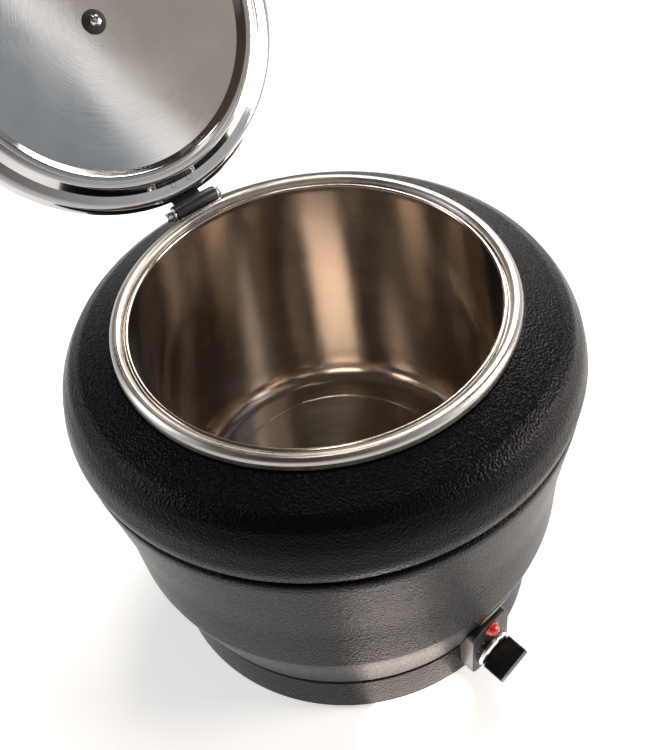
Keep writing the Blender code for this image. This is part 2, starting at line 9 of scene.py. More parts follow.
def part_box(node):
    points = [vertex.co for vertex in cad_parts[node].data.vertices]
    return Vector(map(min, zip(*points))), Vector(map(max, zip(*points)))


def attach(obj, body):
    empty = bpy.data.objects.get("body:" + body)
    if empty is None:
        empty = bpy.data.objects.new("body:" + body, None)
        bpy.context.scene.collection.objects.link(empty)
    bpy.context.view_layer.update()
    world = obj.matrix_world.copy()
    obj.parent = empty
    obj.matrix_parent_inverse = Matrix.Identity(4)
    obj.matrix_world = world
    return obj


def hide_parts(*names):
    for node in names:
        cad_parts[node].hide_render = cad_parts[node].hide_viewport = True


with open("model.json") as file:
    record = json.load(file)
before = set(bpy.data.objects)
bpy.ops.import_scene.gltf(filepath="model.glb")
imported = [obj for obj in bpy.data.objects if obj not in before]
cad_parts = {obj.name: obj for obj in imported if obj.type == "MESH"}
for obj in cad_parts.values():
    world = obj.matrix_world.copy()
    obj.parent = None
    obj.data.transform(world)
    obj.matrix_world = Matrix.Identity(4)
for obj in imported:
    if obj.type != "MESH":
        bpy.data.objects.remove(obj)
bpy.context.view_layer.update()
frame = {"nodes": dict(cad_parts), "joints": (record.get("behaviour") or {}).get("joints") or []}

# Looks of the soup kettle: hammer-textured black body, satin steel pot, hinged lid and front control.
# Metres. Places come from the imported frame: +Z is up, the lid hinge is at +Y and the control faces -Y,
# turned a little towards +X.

JOINTS = {joint["name"]: joint for joint in frame["joints"]}
HINGE = Vector(JOINTS["lid_hinge"]["pos_m"])
LID_OPEN = math.radians(JOINTS["lid_hinge"]["range_deg"][1])
KNOB_POINT = Vector(JOINTS["knob_turn"]["pos_m"])
KNOB_SLOPE = math.radians(20.0)

FACE_FRONT = Matrix.Rotation(math.radians(90.0), 4, "X")  # +Z of a piece to the front
FACE_REAR = Matrix.Rotation(math.radians(-90.0), 4, "X")
LIE_ALONG_X = Matrix.Rotation(math.radians(90.0), 4, "Y")
RING_FRAME = Matrix.Translation(HINGE)
PIN_FRAME = RING_FRAME @ LIE_ALONG_X
LID_FRAME = RING_FRAME @ Matrix.Rotation(-LID_OPEN, 4, "X")
LID_CENTRE = LID_FRAME @ Matrix.Translation((0.0, -HINGE.y, 0.0))
CONTROL_TURN = Matrix.Rotation(math.atan2(KNOB_POINT.x, -KNOB_POINT.y), 4, "Z")
PANEL_FACE = math.hypot(KNOB_POINT.x, KNOB_POINT.y)
KNOB_FRAME = Matrix.Translation(KNOB_POINT) @ CONTROL_TURN @ FACE_FRONT

STEEL = 0.0015  # painted shells
SHEET = 0.0010  # stainless pieces
GAP = 0.0003
BASE_RADIUS = 0.1424
GLAND_HEIGHT = 0.0220
PANEL_WALL = 0.0024
PANEL_DEPTH = 0.0340
PANEL_HALF = 0.0185  # half the bezel's width
HOLLOW_HALF = 0.0155
WINDOW_LOW = (-0.0157, -0.1700, 0.0160)  # opening in the shells behind the bezel, in the control's frame
WINDOW_HIGH = (0.0157, -0.1180, 0.0520)
BUSH_RADIUS = 0.0053
LAMP_RADIUS = 0.0048
POT_BOTTOM = 0.0860
BEAD_RADIUS = 0.0895  # raised ring on the pot's floor
LABEL_START, LABEL_WIDTH = 0.0005, 0.0240  # along the belly, from the front

BODY_STEPS = 192
RIM_STEPS = 256
SMALL_STEPS = 48


# Materials


class Finish:
    """A material under construction, with its Principled shader and the piece's own coordinates."""

    def __init__(self, name, colour, roughness, metallic=0.0, **sockets):
        self.material = bpy.data.materials.new(name)
        self.material.use_nodes = True
        self.tree = self.material.node_tree
        self.shader = self.tree.nodes["Principled BSDF"]
        self.set("Base Color", (*colour, 1.0))
        self.set("Roughness", roughness)
        self.set("Metallic", metallic)
        for socket, value in sockets.items():
            self.set(socket.replace("_", " "), value)
        self.place = self.node("ShaderNodeTexCoord").outputs["Object"]

    def in_frame(self, frame_matrix):
        """Takes the coordinates in another frame, for a piece whose mesh is already turned."""
        mapping = self.node("ShaderNodeMapping", vector_type="TEXTURE")
        self.join(self.place, mapping.inputs["Vector"])
        mapping.inputs["Location"].default_value = frame_matrix.translation
        mapping.inputs["Rotation"].default_value = frame_matrix.to_euler()
        self.place = mapping.outputs[0]

    def set(self, socket, value):
        self.shader.inputs[socket].default_value = value

    def join(self, output, socket):
        self.tree.links.new(output, socket)

    def node(self, kind, **settings):
        made = self.tree.nodes.new(kind)
        for name, value in settings.items():
            setattr(made, name, value)
        return made

    def stretched(self, factors):
        """The piece's coordinates, stretched by a factor along each axis."""
        scale = self.node("ShaderNodeVectorMath", operation="MULTIPLY")
        self.join(self.place, scale.inputs[0])
        scale.inputs[1].default_value = factors
        return scale.outputs[0]

    def round_axis(self, along, across):
        """Coordinates that run slowly round the Z axis and fast across the turning lines."""
        flat = self.stretched((1.0, 1.0, 0.0))
        direction = self.node("ShaderNodeVectorMath", operation="NORMALIZE")
        radius = self.node("ShaderNodeVectorMath", operation="LENGTH")
        self.join(flat, direction.inputs[0])
        self.join(flat, radius.inputs[0])
        parts = self.node("ShaderNodeSeparateXYZ")
        self.join(self.place, parts.inputs[0])
        line = self.node("ShaderNodeMath", operation="ADD")
        self.join(radius.outputs["Value"], line.inputs[0])
        self.join(parts.outputs["Z"], line.inputs[1])
        spot = self.node("ShaderNodeSeparateXYZ")
        self.join(direction.outputs[0], spot.inputs[0])
        gathered = self.node("ShaderNodeCombineXYZ")
        for axis in ("X", "Y"):
            self.join(spot.outputs[axis], gathered.inputs[axis])
        self.join(line.outputs[0], gathered.inputs["Z"])
        scale = self.node("ShaderNodeVectorMath", operation="MULTIPLY")
        self.join(gathered.outputs[0], scale.inputs[0])
        scale.inputs[1].default_value = (along, along, across)
        return scale.outputs[0]

    def noise(self, scale, detail=3.0, distortion=0.0, place=None):
        made = self.node("ShaderNodeTexNoise")
        made.inputs["Scale"].default_value = scale
        made.inputs["Detail"].default_value = detail
        made.inputs["Distortion"].default_value = distortion
        self.join(place or self.place, made.inputs["Vector"])
        return made.outputs[0]

    def cells(self, scale, smoothness=0.6, place=None, feature="SMOOTH_F1"):
        made = self.node("ShaderNodeTexVoronoi", feature=feature)
        made.inputs["Scale"].default_value = scale
        if feature == "SMOOTH_F1":
            made.inputs["Smoothness"].default_value = smoothness
        self.join(place or self.place, made.inputs["Vector"])
        return made.outputs["Distance"]

    def remap(self, value, low, high, to_low=0.0, to_high=1.0):
        made = self.node("ShaderNodeMapRange", clamp=True)
        for socket, number in zip(made.inputs[1:5], (low, high, to_low, to_high)):
            socket.default_value = number
        self.join(value, made.inputs["Value"])
        return made.outputs["Result"]

    def combine(self, first, second, operation="ADD", factor=None):
        """Two values combined; factor multiplies the second one first."""
        if factor is not None:
            scale = self.node("ShaderNodeMath", operation="MULTIPLY")
            self.join(second, scale.inputs[0])
            scale.inputs[1].default_value = factor
            second = scale.outputs[0]
        made = self.node("ShaderNodeMath", operation=operation)
        self.join(first, made.inputs[0])
        self.join(second, made.inputs[1])
        return made.outputs[0]

    def roughness(self, value, low, high, smooth, rough):
        self.join(self.remap(value, low, high, smooth, rough), self.shader.inputs["Roughness"])
        return self

    def colours(self, value, low, high, dark, light):
        ramp = self.node("ShaderNodeValToRGB")
        ramp.color_ramp.elements[0].position = low
        ramp.color_ramp.elements[0].color = (*dark, 1.0)
        ramp.color_ramp.elements[1].position = high
        ramp.color_ramp.elements[1].color = (*light, 1.0)
        self.join(value, ramp.inputs["Fac"])
        self.join(ramp.outputs["Color"], self.shader.inputs["Base Color"])
        return self

    def bump(self, *layers):
        """Bump layers of (height, distance in metres, strength), each on top of the one before."""
        normal = None
        for height, distance, strength in layers:
            made = self.node("ShaderNodeBump")
            made.inputs["Distance"].default_value = distance
            made.inputs["Strength"].default_value = strength
            self.join(height, made.inputs["Height"])
            if normal:
                self.join(normal, made.inputs["Normal"])
            normal = made.outputs["Normal"]
        self.join(normal, self.shader.inputs["Normal"])
        return self

    def turning_tangent(self):
        tangent = self.node("ShaderNodeTangent", direction_type="RADIAL", axis="Z")
        self.join(tangent.outputs[0], self.shader.inputs["Tangent"])
        return self


def hammer_paint():
    """Black powder coat: a fine orange-peel texture, painted glints and slightly duller patches; the glints
    are tiny cells that lighten the base colour in place of sparkle highlights.
    """
    paint = Finish("hammer_paint", (0.0025, 0.0022, 0.0027), 0.24, Specular_IOR_Level=0.11)
    warp = paint.noise(420.0, 2.0)
    place = paint.node("ShaderNodeVectorMath", operation="MULTIPLY_ADD")
    paint.join(warp, place.inputs[0])
    place.inputs[1].default_value = (0.0005, 0.0005, 0.0005)
    paint.join(paint.place, place.inputs[2])
    pips = paint.cells(700.0, 0.70, place.outputs[0])
    fine = paint.noise(2300.0, 2.0)
    # Painted glints: tiny cells that lighten the base colour, standing in for sparkle highlights on the
    # paint.
    painted_glints = paint.cells(900.0, feature="F1")
    patches = paint.noise(9.0, 3.0)
    paint.bump((pips, 0.0008, 0.55), (fine, 0.0002, 0.40))
    paint.roughness(paint.combine(pips, patches, "ADD", 0.6), 0.25, 0.95, 0.19, 0.30)
    # The colour mixes random duller patches with the painted glints.
    tone = paint.combine(patches, paint.remap(painted_glints, 0.02, 0.16, 0.55, 0.0))
    paint.colours(tone, 0.78, 1.15, (0.0022, 0.0019, 0.0024), (0.060, 0.052, 0.046))
    return paint.material


def pot_steel():
    """Satin pot steel: fine turning lines round the wall and a slow waviness in its reflections."""
    steel = Finish("pot_steel", (0.53, 0.47, 0.415), 0.24, 1.0, Anisotropic=0.80, Anisotropic_Rotation=0.25)
    lines = steel.noise(1.0, 2.0, place=steel.round_axis(2.0, 700.0))
    waves = steel.noise(15.0, 1.0, place=steel.stretched((1.0, 1.0, 0.12)))
    stains = steel.noise(24.0, 4.0, 0.8)
    steel.turning_tangent()
    steel.bump((waves, 0.0100, 0.050), (lines, 0.0001, 0.020))
    steel.roughness(steel.combine(lines, stains, "ADD", 0.8), 0.6, 1.2, 0.15, 0.22)
    steel.colours(stains, 0.30, 0.75, (0.50, 0.44, 0.385), (0.56, 0.50, 0.445))
    return steel.material


def polished_steel(name, colour, rough, anisotropic, lines_depth, frame_matrix=None):
    """Buffed lid and rim steel: hairlines round the centre, faint smears and wiping marks."""
    steel = Finish(name, colour, rough, 1.0)
    if frame_matrix:
        steel.in_frame(frame_matrix)
    lines = steel.noise(1.0, 3.0, place=steel.round_axis(4.0, 1100.0))
    smears = steel.noise(17.0, 4.0, 0.6)
    waves = steel.noise(9.0, 1.0)
    if anisotropic:
        steel.set("Anisotropic", anisotropic)
        steel.set("Anisotropic Rotation", 0.25)
        steel.turning_tangent()
    steel.bump((waves, 0.0060, 0.020), (lines, 0.0001, lines_depth))
    steel.roughness(steel.combine(smears, lines, "ADD", 0.5), 0.55, 1.05, rough * 0.75, rough * 1.5)
    steel.colours(smears, 0.30, 0.75, tuple(0.93 * c for c in colour), tuple(1.04 * c for c in colour))
    return steel.material


def plain_metal(name, colour, rough):
    """A plated or cast part: fine grain, cloudy tone and a little waviness."""
    metal = Finish(name, colour, rough, 1.0)
    clouds = metal.noise(60.0, 4.0)
    fine = metal.noise(700.0, 3.0)
    dark = tuple(c * 0.82 for c in colour)
    metal.colours(clouds, 0.30, 0.70, dark, colour)
    metal.roughness(metal.combine(clouds, fine, "ADD", 0.5), 0.5, 1.0, rough * 0.75, min(1.0, rough * 1.35))
    metal.bump((fine, 0.0002, 0.12))
    return metal.material


def moulded(name, colour, rough, grain=900.0, depth=0.10, **sockets):
    """Moulded plastic or rubber: spark-eroded grain with polished high spots and slight colour drift."""
    plastic = Finish(name, colour, rough, **sockets)
    grains = plastic.cells(grain, 0.8)
    drift = plastic.noise(70.0, 3.0)
    light = tuple(min(1.0, c * 1.25 + 0.002) for c in colour)
    plastic.colours(drift, 0.30, 0.70, colour, light)
    worn = plastic.combine(grains, drift, "ADD", 0.7)
    plastic.roughness(worn, 0.3, 0.95, rough * 0.8, min(1.0, rough * 1.25))
    plastic.bump((grains, 0.0003, depth))
    return plastic.material


def lamp_red():
    """Clear red lamp plastic that passes light, with moulding swirls."""
    lens = Finish("lamp_red", (0.80, 0.02, 0.03), 0.12, Transmission_Weight=0.35, Coat_Weight=0.6, IOR=1.49)
    swirl = lens.noise(300.0, 2.0, 0.5)
    lens.colours(swirl, 0.25, 0.75, (0.62, 0.012, 0.020), (0.90, 0.045, 0.055))
    lens.roughness(swirl, 0.3, 0.7, 0.08, 0.20)
    lens.bump((swirl, 0.0002, 0.10))
    lens.set("Emission Color", (1.0, 0.05, 0.05, 1.0))
    lens.set("Emission Strength", 0.06)
    return lens.material


def foil():
    """Blank olive-gold foil of the rating plate, lightly brushed."""
    sheet = Finish("label_foil", (0.36, 0.31, 0.17), 0.34, 0.75)
    brushed = sheet.noise(1.0, 3.0, place=sheet.stretched((120.0, 120.0, 2400.0)))
    wear = sheet.noise(90.0, 4.0)
    sheet.colours(wear, 0.30, 0.72, (0.30, 0.26, 0.14), (0.43, 0.38, 0.22))
    sheet.roughness(sheet.combine(brushed, wear, "ADD", 0.6), 0.5, 1.1, 0.26, 0.46)
    sheet.bump((brushed, 0.0001, 0.12))
    return sheet.material


def floor_paint():
    """Pale matt studio floor with a barely visible unevenness."""
    floor = Finish("studio_floor", (0.86, 0.855, 0.85), 0.75, Specular_IOR_Level=0.2)
    clouds = floor.noise(1.3, 3.0)
    floor.colours(clouds, 0.25, 0.75, (0.84, 0.835, 0.83), (0.88, 0.875, 0.87))
    floor.set("Emission Color", (1.0, 0.985, 0.965, 1.0))
    floor.set("Emission Strength", 0.55)
    return floor.material


PAINT = hammer_paint()
POT_STEEL = pot_steel()
LID_STEEL = polished_steel("lid_steel", (0.64, 0.63, 0.62), 0.085, 0.0, 0.06, LID_CENTRE)
RIM_STEEL = polished_steel("rim_steel", (0.56, 0.53, 0.49), 0.30, 0.30, 0.015)
WELL_STEEL = polished_steel("well_steel", (0.66, 0.64, 0.615), 0.28, 0.60, 0.08)
CHROME = plain_metal("bright_chrome", (0.78, 0.78, 0.77), 0.07)
ZINC = plain_metal("zinc_plate", (0.66, 0.66, 0.64), 0.30)
ALUMINIUM = plain_metal("rolled_aluminium", (0.72, 0.72, 0.72), 0.38)
COPPER = plain_metal("drawn_copper", (0.70, 0.36, 0.22), 0.32)
BRASS = plain_metal("turned_brass", (0.70, 0.54, 0.27), 0.28)
BLACK_PLASTIC = moulded("black_moulding", (0.012, 0.0115, 0.013), 0.30)
KNOB_PLASTIC = moulded("knob_moulding", (0.010, 0.0095, 0.011), 0.26, depth=0.06)
WHITE_PLASTIC = moulded("white_moulding", (0.72, 0.70, 0.65), 0.45)
MARK_PAINT = moulded("mark_paint", (0.72, 0.76, 0.70), 0.45, depth=0.05)
RED_LAMP = lamp_red()
RUBBER = moulded("soft_rubber", (0.022, 0.021, 0.021), 0.72, 600.0, 0.18)
SILICONE = moulded("gasket_silicone", (0.42, 0.10, 0.06), 0.55, 500.0)
FOIL = foil()
WIRES = {
    "brown_wire": moulded("brown_lead", (0.19, 0.07, 0.03), 0.42),
    "blue_wire": moulded("blue_lead", (0.03, 0.09, 0.38), 0.42),
    "green_wire": moulded("green_lead", (0.05, 0.33, 0.07), 0.42),
    "red_wire": moulded("red_lead", (0.43, 0.03, 0.03), 0.42),
}
FINISHES = {
    "black_paint": PAINT,
    "stainless": WELL_STEEL,
    "plated_steel": ZINC,
    "chrome": CHROME,
    "aluminium": ALUMINIUM,
    "black_plastic": BLACK_PLASTIC,
    "white_plastic": WHITE_PLASTIC,
    "red_lens": RED_LAMP,
    "rubber": RUBBER,
    "silicone": SILICONE,
    "copper": COPPER,
    "brass": BRASS,
    "label": FOIL,
    **WIRES,
}


# Shapes


def filleted(corners, segments=8):
    """An outline whose corners (radius, height, fillet) are rounded; the fillet may be left out."""
    result = []
    last = len(corners) - 1
    for i, corner in enumerate(corners):
        here = Vector(corner[:2])
        size = corner[2] if len(corner) > 2 else 0.0
        if not size or i in (0, last):
            result.append(tuple(here))
            continue
        before = Vector(corners[i - 1][:2]) - here
        after = Vector(corners[i + 1][:2]) - here
        angle = before.angle(after)
        reach = min(size / math.tan(angle / 2), 0.49 * before.length, 0.49 * after.length)
        start = here + before.normalized() * reach
        end = here + after.normalized() * reach
        radius = reach * math.tan(angle / 2)
        inwards = (before.normalized() + after.normalized()).normalized()
        centre = here + inwards * radius / math.sin(angle / 2)
        first, final = start - centre, end - centre
        turn = first.angle_signed(final)
        for step in range(segments + 1):
            part = -turn * step / segments
            spun = Vector((
                first.x * math.cos(part) - first.y * math.sin(part),
                first.x * math.sin(part) + first.y * math.cos(part),
            ))
            result.append(tuple(centre + spun))
    return result


def walled(outline, wall):
    """A closed outline of a shell: the outer face, then the inner face at the wall's thickness inwards."""
    points = [Vector(p) for p in outline]
    inner = []
    for i, point in enumerate(points):
        sides = []
        if i > 0:
            sides.append((point - points[i - 1]).normalized())
        if i < len(points) - 1:
            sides.append((points[i + 1] - point).normalized())
        normals = [Vector((side.y, -side.x)) for side in sides]
        average = sum(normals, Vector((0.0, 0.0))).normalized()
        reach = wall / max(0.5, average.dot(normals[0]))
        moved = point + average * reach
        inner.append((0.0 if point.x < 1e-6 else max(moved.x, 1e-5), moved.y))
    return [tuple(p) for p in points] + inner[::-1]


def lathe(name, outline, finish, body, steps=BODY_STEPS, at=None, sharp=40.0):
    """A piece turned about Z from a closed outline; points on the axis become single vertices."""
    mesh = bpy.data.meshes.new(name)
    form = bmesh.new()
    rings = []
    for radius, height in outline:
        if radius < 1e-6:
            rings.append([form.verts.new((0.0, 0.0, height))])
            continue
        angles = [2 * math.pi * i / steps for i in range(steps)]
        rings.append([form.verts.new((radius * math.cos(a), radius * math.sin(a), height)) for a in angles])
    pairs = list(zip(rings, rings[1:]))
    if len(rings[0]) > 1 or len(rings[-1]) > 1:
        pairs.append((rings[-1], rings[0]))
    for upper, lower in pairs:
        if len(upper) == 1 and len(lower) == 1:
            continue
        for i in range(steps):
            j = (i + 1) % steps
            if len(upper) == 1:
                form.faces.new((upper[0], lower[i], lower[j]))
            elif len(lower) == 1:
                form.faces.new((upper[i], lower[0], upper[j]))
            else:
                form.faces.new((upper[i], lower[i], lower[j], upper[j]))
    bmesh.ops.recalc_face_normals(form, faces=form.faces)
    form.to_mesh(mesh)
    form.free()
    return finished(name, mesh, finish, body, at, sharp)


def finished(name, mesh, finish, body, at=None, sharp=40.0):
    """Puts a mesh in the scene as a piece that rides on a body."""
    piece = bpy.data.objects.new(name, mesh)
    bpy.context.scene.collection.objects.link(piece)
    mesh.materials.append(finish)
    mesh.shade_smooth()
    mesh.set_sharp_from_angle(angle=math.radians(sharp))
    piece.matrix_world = at or Matrix.Identity(4)
    if body:
        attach(piece, body)
    return piece


def block(name, low, high, bevel, finish, body, at=None, segments=4):
    """A box between two corners with rounded edges."""
    mesh = bpy.data.meshes.new(name)
    form = bmesh.new()
    bmesh.ops.create_cube(form, size=1.0)
    bmesh.ops.scale(form, vec=[b - a for a, b in zip(low, high)], verts=form.verts)
    bmesh.ops.translate(form, vec=[(a + b) / 2 for a, b in zip(low, high)], verts=form.verts)
    if bevel:
        bmesh.ops.bevel(form, geom=form.edges, offset=bevel, segments=segments, affect="EDGES", profile=0.5)
    form.to_mesh(mesh)
    form.free()
    return finished(name, mesh, finish, body, at)


def cut(piece, *others, operation="DIFFERENCE"):
    """Cuts other pieces out of this one, or joins them to it, and removes them."""
    for other in others:
        step = piece.modifiers.new("cut", "BOOLEAN")
        step.object = other
        step.operation = operation
        step.solver = "EXACT"
    bpy.context.view_layer.update()
    seen = piece.evaluated_get(bpy.context.evaluated_depsgraph_get())
    mesh = bpy.data.meshes.new_from_object(seen)
    piece.modifiers.clear()
    piece.data = mesh
    mesh.shade_smooth()
    mesh.set_sharp_from_angle(angle=math.radians(40.0))
    for other in others:
        bpy.data.objects.remove(other, do_unlink=True)
    return piece


def pin_cutter(radius, low, high, at):
    """A round cutter between two heights, for holes."""
    outline = [(0.0, high), (radius, high), (radius, low), (0.0, low)]
    return lathe("cutter", outline, PAINT, None, SMALL_STEPS, at)


# Body


def make_body():
    """The three painted shells, opened behind the control and the gland, and the rating plate."""
    deck = filleted([
        (0.1245, 0.2730),
        (0.1315, 0.2730, 0.0050),
        (0.1540, 0.2652, 0.0160),
        (0.1620, 0.2598, 0.0120),
        (0.1690, 0.2490, 0.0300),
        (0.1725, 0.2330, 0.0250),
        (0.1712, 0.2250, 0.0050),
        (0.1675, 0.2200, 0.0030),
        (0.1610, 0.2196),
    ])
    deck_piece = lathe("deck_and_band", walled(deck, STEEL), PAINT, "kettle")
    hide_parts("top_cover")

    belly = filleted([
        (0.1600, 0.2186),
        (0.1701, 0.2186, 0.0038),
        (0.1701, 0.2120, 0.0200),
        (0.1668, 0.1900, 0.1500),
        (0.1610, 0.1480, 0.2500),
        (0.1592, 0.1010, 0.0200),
        (0.1575, 0.0930, 0.0200),
        (0.1430, 0.0450, 0.0020),
        (0.1410, 0.0416, 0.0020),
        (0.1340, 0.0412),
    ], segments=10)
    belly_piece = lathe("belly", walled(belly, STEEL), PAINT, "kettle")

    base = filleted([
        (0.1320, 0.0394),
        (0.1412, 0.0394, 0.0036),
        (0.1412, 0.0340, 0.0060),
        (BASE_RADIUS, 0.0052, 0.0010),
        (0.1410, 0.0040, 0.0010),
        (0.1300, 0.0040),
    ])
    base_piece = lathe("base_skirt", walled(base, STEEL), PAINT, "kettle")
    for piece, node in ((belly_piece, "belly_shell"), (base_piece, "base_ring")):
        window = block("window", WINDOW_LOW, WINDOW_HIGH, 0.0, PAINT, None, CONTROL_TURN)
        cut(piece, window)
        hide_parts(node)
    cut(belly_piece, pin_cutter(0.0052, -0.03, 0.0, lamp_frame()))
    gland_spot = Matrix.Translation((0.0, BASE_RADIUS, GLAND_HEIGHT)) @ FACE_REAR
    cut(base_piece, pin_cutter(0.0083, -0.02, 0.02, gland_spot))
    make_rating_plate()


def make_rating_plate():
    """A blank foil plate with rounded corners that follows the belly's cone above the control."""
    low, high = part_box("label_plate")
    columns, rows, corner = 28, 20, 0.0018
    height = high.z - low.z
    mesh = bpy.data.meshes.new("rating_plate")
    form = bmesh.new()
    grid = []
    for row in range(rows + 1):
        v = height * row / rows
        inset = 0.0
        edge = min(v, height - v)
        if edge < corner:
            inset = corner - math.sqrt(corner**2 - (corner - edge) ** 2)
        line = []
        for column in range(columns + 1):
            across = LABEL_START + inset + (LABEL_WIDTH - 2 * inset) * column / columns
            z = low.z + v
            radius = 0.1430 + (z - 0.0450) * 0.0145 / 0.0480 + GAP
            angle = across / radius
            line.append(form.verts.new((radius * math.sin(angle), -radius * math.cos(angle), z)))
        grid.append(line)
    for lower, upper in zip(grid, grid[1:]):
        for i in range(columns):
            form.faces.new((lower[i], lower[i + 1], upper[i + 1], upper[i]))
    form.to_mesh(mesh)
    form.free()
    plate = finished("rating_plate", mesh, FOIL, "kettle")
    thickness = plate.modifiers.new("thickness", "SOLIDIFY")
    thickness.thickness = 0.0003
    thickness.offset = 1.0
    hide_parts("label_plate")


# Control


def make_bezel():
    """The bezel round the knob and lamp, scribed to the belly and base behind it."""
    low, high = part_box("control_bezel")
    back = -PANEL_FACE + PANEL_DEPTH
    mesh = bpy.data.meshes.new("control_bezel_shell")
    form = bmesh.new()
    bmesh.ops.create_cube(form, size=1.0)
    bmesh.ops.scale(form, vec=(2 * PANEL_HALF, PANEL_DEPTH, high.z - low.z), verts=form.verts)
    bmesh.ops.translate(form, vec=(0.0, (back - PANEL_FACE) / 2, (high.z + low.z) / 2), verts=form.verts)
    upright = [e for e in form.edges if abs(e.verts[0].co.y - e.verts[1].co.y) > 0.001]
    shoulders = [e for e in upright if e.verts[0].co.z > low.z + 0.01]
    toes = [e for e in upright if e not in shoulders]
    bmesh.ops.bevel(form, geom=shoulders, offset=0.0100, segments=14, affect="EDGES", profile=0.5)
    bmesh.ops.bevel(form, geom=toes, offset=0.0050, segments=8, affect="EDGES", profile=0.5)
    front = [e for e in form.edges if all(abs(v.co.y + PANEL_FACE) < 1e-6 for v in e.verts)]
    bmesh.ops.bevel(form, geom=front, offset=0.0012, segments=5, affect="EDGES", profile=0.5)
    form.to_mesh(mesh)
    form.free()
    shell = finished("control_bezel_shell", mesh, BLACK_PLASTIC, "kettle", CONTROL_TURN)
    hollow_low = (-HOLLOW_HALF, -PANEL_FACE + PANEL_WALL, low.z + PANEL_WALL)
    hollow_high = (HOLLOW_HALF, -0.10, high.z - 0.0045)
    hollow = block("hollow", hollow_low, hollow_high, 0.0010, PAINT, None, CONTROL_TURN)
    body = [
        (0.0, 0.26), (0.1704, 0.26), (0.1704, 0.2117), (0.1671, 0.1900), (0.1613, 0.1480), (0.1595, 0.1010),
        (0.1578, 0.0930), (0.1433, 0.0450), (0.1413, 0.0413), (0.1413, 0.0397), (0.1415, 0.0358),
        (0.1427, 0.0052), (0.1427, -0.01), (0.0, -0.01),
    ]
    envelope = lathe("envelope", body, PAINT, None)
    lamp = pin_cutter(LAMP_RADIUS, -0.01, 0.01, lamp_frame())
    bush = pin_cutter(BUSH_RADIUS, -0.01, 0.01, KNOB_FRAME)
    cut(shell, hollow, envelope, lamp, bush)
    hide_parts("control_bezel")


def lamp_frame():
    """The lamp's place on the bezel's face, with +Z out of the front."""
    low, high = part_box("indicator_lens")
    return CONTROL_TURN @ Matrix.Translation((0.0, -PANEL_FACE, (low.z + high.z) / 2)) @ FACE_FRONT


def make_lamp():
    """A domed red lens with moulded rings on its collar."""
    angles = [math.radians(90.0 - 6.0 * step) for step in range(1, 15)]
    dome = [(LAMP_RADIUS * math.cos(a), 0.0014 + LAMP_RADIUS * math.sin(a)) for a in angles]
    outline = filleted([
        (0.0, 0.0062),
        *dome,
        (0.0049, 0.0013),
        (0.0055, 0.0012, 0.0003),
        (0.0058, 0.0009, 0.0003),
        (0.0058, GAP),
        (0.0044, GAP),
        (0.0044, -0.0030),
        (0.0, -0.0030),
    ])
    lens = lathe("lamp_lens", outline, RED_LAMP, "kettle", SMALL_STEPS, lamp_frame())
    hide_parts("indicator_lens")


def make_dial_marks():
    """Short printed marks on the bezel round the knob, long ones at both ends of the scale."""
    for number in range(11):
        angle = math.radians(-45.0 + 27.0 * number)
        length = 0.0018 if number in (0, 10) else 0.0012
        spot = KNOB_FRAME @ Matrix.Rotation(angle, 4, "Z") @ Matrix.Translation((0.0155, 0.0, 0.0))
        mark = block(
            f"dial_mark_{number + 1}", (0.0, -0.00025, -0.00005), (length, 0.00025, 0.00012), 0.00005,
            MARK_PAINT, "kettle", spot, segments=2,
        )
        mark.data.shade_flat()


def make_knob():
    """A chromed dial with a tall black bar grip, bevelled along its top, and its white pointer line."""
    dial = filleted([
        (0.0036, 0.0060),
        (0.0119, 0.0060, 0.0010),
        (0.0144, 0.0046, 0.0012),
        (0.0150, 0.0028, 0.0004),
        (0.0148, 0.0026),
        (0.0036, 0.0026),
    ])
    skirt = lathe("dial_skirt", dial, CHROME, "knob", 96, KNOB_FRAME, sharp=30.0)
    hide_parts("knob_skirt")

    turn = KNOB_FRAME @ Matrix.Rotation(KNOB_SLOPE, 4, "Z")
    mesh = bpy.data.meshes.new("knob_grip")
    form = bmesh.new()
    bmesh.ops.create_cube(form, size=1.0)
    bmesh.ops.scale(form, vec=(0.0286, 0.0084, 0.0160), verts=form.verts)
    bmesh.ops.translate(form, vec=(0.0, 0.0, 0.0143), verts=form.verts)
    upright = [e for e in form.edges if abs(e.verts[0].co.z - e.verts[1].co.z) > 0.001]
    bmesh.ops.bevel(form, geom=upright, offset=0.0014, segments=6, affect="EDGES", profile=0.5)
    flat = [e for e in form.edges if abs(e.verts[0].co.z - e.verts[1].co.z) < 1e-6]
    bmesh.ops.bevel(form, geom=flat, offset=0.0006, segments=4, affect="EDGES", profile=0.5)
    form.to_mesh(mesh)
    form.free()
    grip = finished("knob_grip", mesh, KNOB_PLASTIC, "knob", turn, sharp=50.0)
    cut(grip, pin_cutter(0.0033, -0.01, 0.0170, KNOB_FRAME))
    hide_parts("control_knob")
    top = block(
        "pointer_line", (-0.0142, -0.0003, 0.02226), (-0.0085, 0.0003, 0.02239), 0.00005,
        MARK_PAINT, "knob", turn, segments=2,
    )
    end = block(
        "pointer_end", (-0.01429, -0.0003, 0.0150), (-0.01420, 0.0003, 0.0221), 0.00004,
        MARK_PAINT, "knob", turn, segments=2,
    )
    for line in (top, end):
        line.data.shade_flat()


# Pot, rim and well


